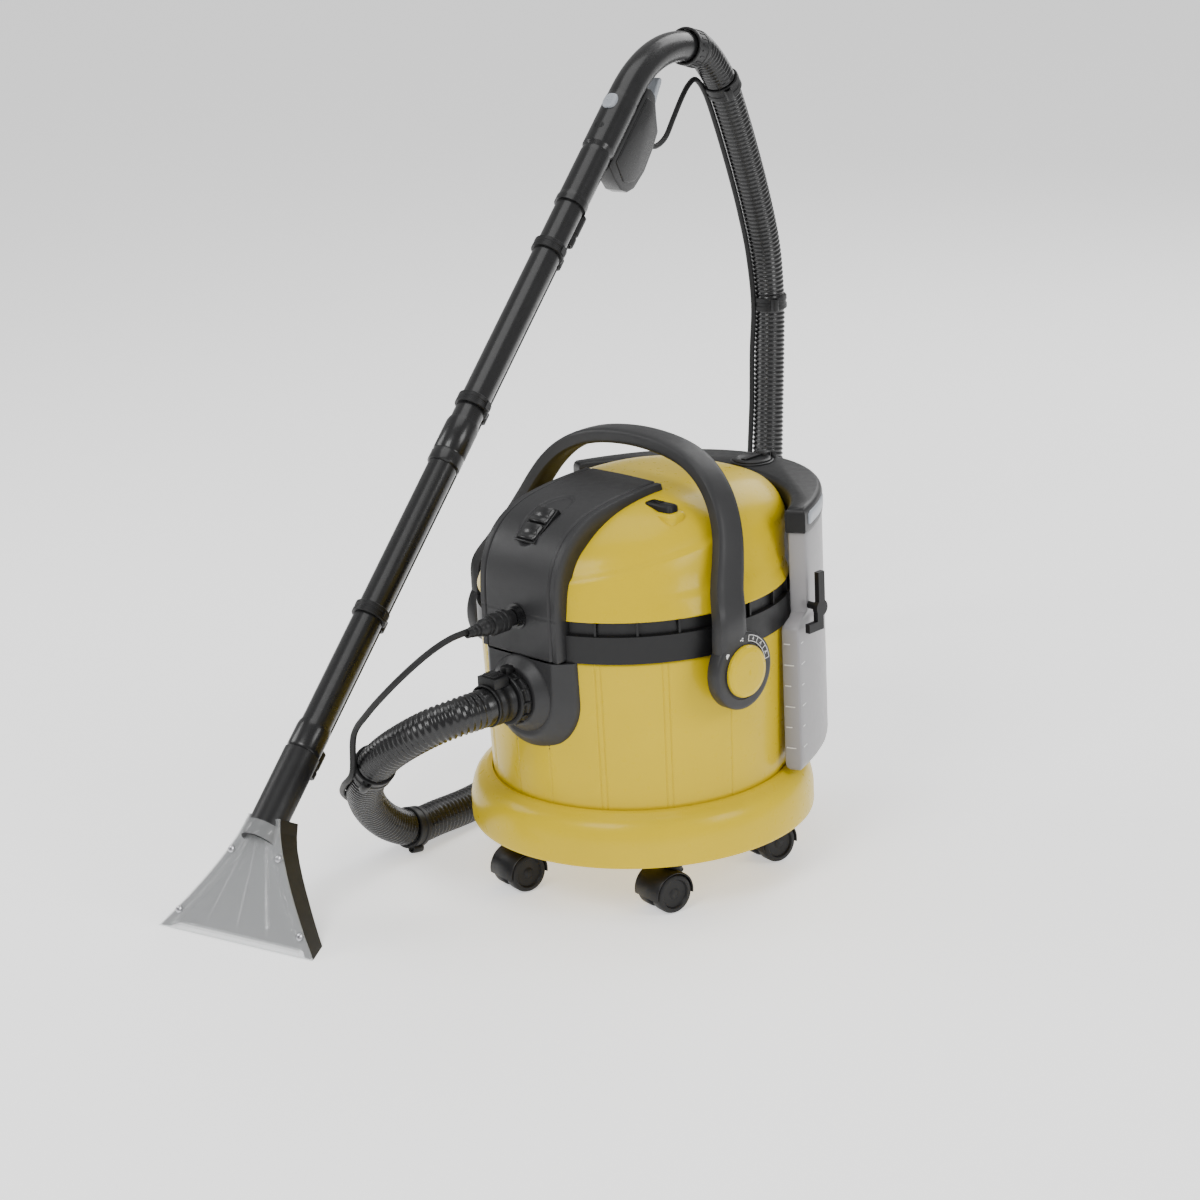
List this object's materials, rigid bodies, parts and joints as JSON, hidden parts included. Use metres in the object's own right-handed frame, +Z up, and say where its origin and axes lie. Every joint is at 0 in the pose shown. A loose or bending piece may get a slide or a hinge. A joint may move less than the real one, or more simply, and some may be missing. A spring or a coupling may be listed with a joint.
{
  "type": "drum spray extractor",
  "caption": "Wheeled drum spray extractor with a rear clean-water tank, swinging carrying handle, corrugated suction hose and a two-tube floor wand with a clear-faced nozzle.",
  "frame": {"origin": "on the floor under the axis of the drum", "axes": "+Z up, the front panel and hose port face -Y, +X to the viewer's right when the front is seen, +Y to the clean-water tank and the hose's far loop"},
  "size_m": [0.662, 1.2362, 0.8426],
  "materials": {
    "yellow_plastic": "glossy moulded",
    "dark_plastic": "satin moulded",
    "black_plastic": "fine texture",
    "black_gloss": "polished",
    "pale_plastic": "satin",
    "tank_plastic": "translucent, smooth",
    "clear_plastic": "clear moulded",
    "steel": "turned",
    "black_rubber": "matt",
    "hose_plastic": "ribbed",
    "filter_cloth": "woven"
  },
  "bodies": {
    "machine": {"base_ring": "yellow_plastic", "waste_tank": "yellow_plastic", "inlet_deflector": "black_plastic", "lower_panel": "dark_plastic", "upper_panel": "dark_plastic", "head_band": "black_plastic", "head_cover": "yellow_plastic", "switch_bezel": "black_gloss", "motor_plate": "black_plastic", "turbine_housing": "black_plastic", "motor_case": "steel", "pump_body": "dark_plastic", "float_cage": "black_plastic", "flat_filter": "filter_cloth", "tank_gasket": "black_rubber", "spray_socket": "black_gloss", "mains_gland": "black_rubber", "pivot_pins": "steel", "tank_valve": "black_plastic", "hose_connector": "black_plastic", "suction_hose": "hose_plastic", "spray_hose": "black_rubber", "hose_clips": "black_plastic", "spray_plug": "black_plastic", "handle_grip": "black_gloss", "trigger_housing": "black_gloss", "tube_upper": "black_gloss", "tube_lower": "black_gloss", "spray_pipe": "black_plastic", "pipe_clips": "black_plastic", "nozzle_body": "black_plastic", "nozzle_window": "clear_plastic", "nozzle_screws": "steel"},
    "handle": {"handle_bail": "dark_plastic", "handle_caps": "yellow_plastic"},
    "clean_tank": {"clean_tank": "tank_plastic", "clean_tank_cap": "black_plastic"},
    "filler_lid": {"filler_lid": "black_plastic"},
    "hook_right": {"cable_hook_right": "black_plastic"},
    "hook_left": {"cable_hook_left": "black_plastic"},
    "switch_suction": {"switch_suction": "black_gloss"},
    "switch_spray": {"switch_spray": "black_gloss"},
    "head_latch": {"head_latch": "black_plastic"},
    "fan": {"fan_rotor": "steel"},
    "float": {"float_ball": "pale_plastic"},
    "bayonet": {"bayonet_ring": "black_plastic"},
    "hose_cuff": {"hose_cuff": "black_plastic"},
    "trigger": {"trigger": "pale_plastic"},
    "vent_slider": {"vent_slider": "pale_plastic"},
    "tube_button": {"tube_button": "dark_plastic"},
    "castor_1": {"castor_hood_1": "black_plastic"},
    "wheels_1": {"castor_wheels_1": "black_rubber"},
    "castor_2": {"castor_hood_2": "black_plastic"},
    "wheels_2": {"castor_wheels_2": "black_rubber"},
    "castor_3": {"castor_hood_3": "black_plastic"},
    "wheels_3": {"castor_wheels_3": "black_rubber"},
    "castor_4": {"castor_hood_4": "black_plastic"},
    "wheels_4": {"castor_wheels_4": "black_rubber"},
    "castor_5": {"castor_hood_5": "black_plastic"},
    "wheels_5": {"castor_wheels_5": "black_rubber"}
  },
  "joints": [
    {"name": "handle_swing", "type": "hinge", "parent": "machine", "child": "handle", "pos_m": [0, -0.034, 0.27], "axis": [1, 0, 0], "range_deg": [0, 60]},
    {"name": "tank_lift", "type": "slide", "parent": "machine", "child": "clean_tank", "axis": [0, 0, 1], "range_m": [0, 0.27]},
    {"name": "lid_hinge", "type": "hinge", "parent": "clean_tank", "child": "filler_lid", "pos_m": [0, 0.228, 0.4204], "axis": [-1, 0, 0], "range_deg": [0, 95]},
    {"name": "hook_right_turn", "type": "hinge", "parent": "clean_tank", "child": "hook_right", "pos_m": [0.188, 0.096, 0.305], "axis": [-1, 0, 0], "range_deg": [0, 180]},
    {"name": "hook_left_turn", "type": "hinge", "parent": "clean_tank", "child": "hook_left", "pos_m": [-0.188, 0.096, 0.305], "axis": [-1, 0, 0], "range_deg": [0, 180]},
    {"name": "switch_suction_press", "type": "slide", "parent": "machine", "child": "switch_suction", "axis": [0, 0.6428, -0.766], "range_m": [0, 0.003], "stiffness_N_per_m": 600, "springref_m": -0.002},
    {"name": "switch_spray_press", "type": "slide", "parent": "machine", "child": "switch_spray", "axis": [0, 0.6428, -0.766], "range_m": [0, 0.003], "stiffness_N_per_m": 600, "springref_m": -0.002},
    {"name": "latch_press", "type": "slide", "parent": "machine", "child": "head_latch", "axis": [0, 0, -1], "range_m": [0, 0.0025], "stiffness_N_per_m": 800, "springref_m": -0.002},
    {"name": "fan_spin", "type": "hinge", "parent": "machine", "child": "fan", "pos_m": [0, 0, 0.35], "axis": [0, 0, 1], "continuous": true},
    {"name": "float_rise", "type": "slide", "parent": "machine", "child": "float", "axis": [0, 0, 1], "range_m": [0, 0.0195]},
    {"name": "bayonet_turn", "type": "hinge", "parent": "machine", "child": "bayonet", "pos_m": [0, -0.198, 0.246], "axis": [0, -1, 0], "range_deg": [0, 30]},
    {"name": "cuff_swivel", "type": "hinge", "parent": "machine", "child": "hose_cuff", "pos_m": [-0.39622, 0.55382, 0.81476], "axis": [-0.1999, 0.9403, -0.2756], "continuous": true},
    {"name": "trigger_pull", "type": "hinge", "parent": "machine", "child": "trigger", "pos_m": [-0.3712, 0.43613, 0.73502], "axis": [0.9781, 0.2079, 0], "range_deg": [0, 6], "stiffness_Nm_per_rad": 0.8, "springref_deg": -2.86},
    {"name": "vent_slide", "type": "slide", "parent": "machine", "child": "vent_slider", "axis": [-0.1593, 0.7493, 0.6428], "range_m": [0, 0.007]},
    {"name": "tube_button_press", "type": "slide", "parent": "machine", "child": "tube_button", "axis": [-0.1336, 0.6287, -0.766], "range_m": [0, 0.0015], "stiffness_N_per_m": 500, "springref_m": -0.002},
    {"name": "castor_swivel_1", "type": "hinge", "parent": "machine", "child": "castor_1", "pos_m": [-0.04386, -0.14345, 0.05], "axis": [0, 0, 1], "continuous": true},
    {"name": "wheel_roll_1", "type": "hinge", "parent": "castor_1", "child": "wheels_1", "pos_m": [-0.04594, -0.15526, 0.022], "axis": [0.9848, -0.1736, 0], "continuous": true},
    {"name": "castor_swivel_2", "type": "hinge", "parent": "machine", "child": "castor_2", "pos_m": [0.12287, -0.08604, 0.05], "axis": [0, 0, 1], "continuous": true},
    {"name": "wheel_roll_2", "type": "hinge", "parent": "castor_2", "child": "wheels_2", "pos_m": [0.12079, -0.09785, 0.022], "axis": [0.9848, -0.1736, 0], "continuous": true},
    {"name": "castor_swivel_3", "type": "hinge", "parent": "machine", "child": "castor_3", "pos_m": [0.1198, 0.09027, 0.05], "axis": [0, 0, 1], "continuous": true},
    {"name": "wheel_roll_3", "type": "hinge", "parent": "castor_3", "child": "wheels_3", "pos_m": [0.11771, 0.07845, 0.022], "axis": [0.9848, -0.1736, 0], "continuous": true},
    {"name": "castor_swivel_4", "type": "hinge", "parent": "machine", "child": "castor_4", "pos_m": [-0.04884, 0.14183, 0.05], "axis": [0, 0, 1], "continuous": true},
    {"name": "wheel_roll_4", "type": "hinge", "parent": "castor_4", "child": "wheels_4", "pos_m": [-0.05092, 0.13001, 0.022], "axis": [0.9848, -0.1736, 0], "continuous": true},
    {"name": "castor_swivel_5", "type": "hinge", "parent": "machine", "child": "castor_5", "pos_m": [-0.14998, -0.00262, 0.05], "axis": [0, 0, 1], "continuous": true},
    {"name": "wheel_roll_5", "type": "hinge", "parent": "castor_5", "child": "wheels_5", "pos_m": [-0.15206, -0.01444, 0.022], "axis": [0.9848, -0.1736, 0], "continuous": true}
  ]
}
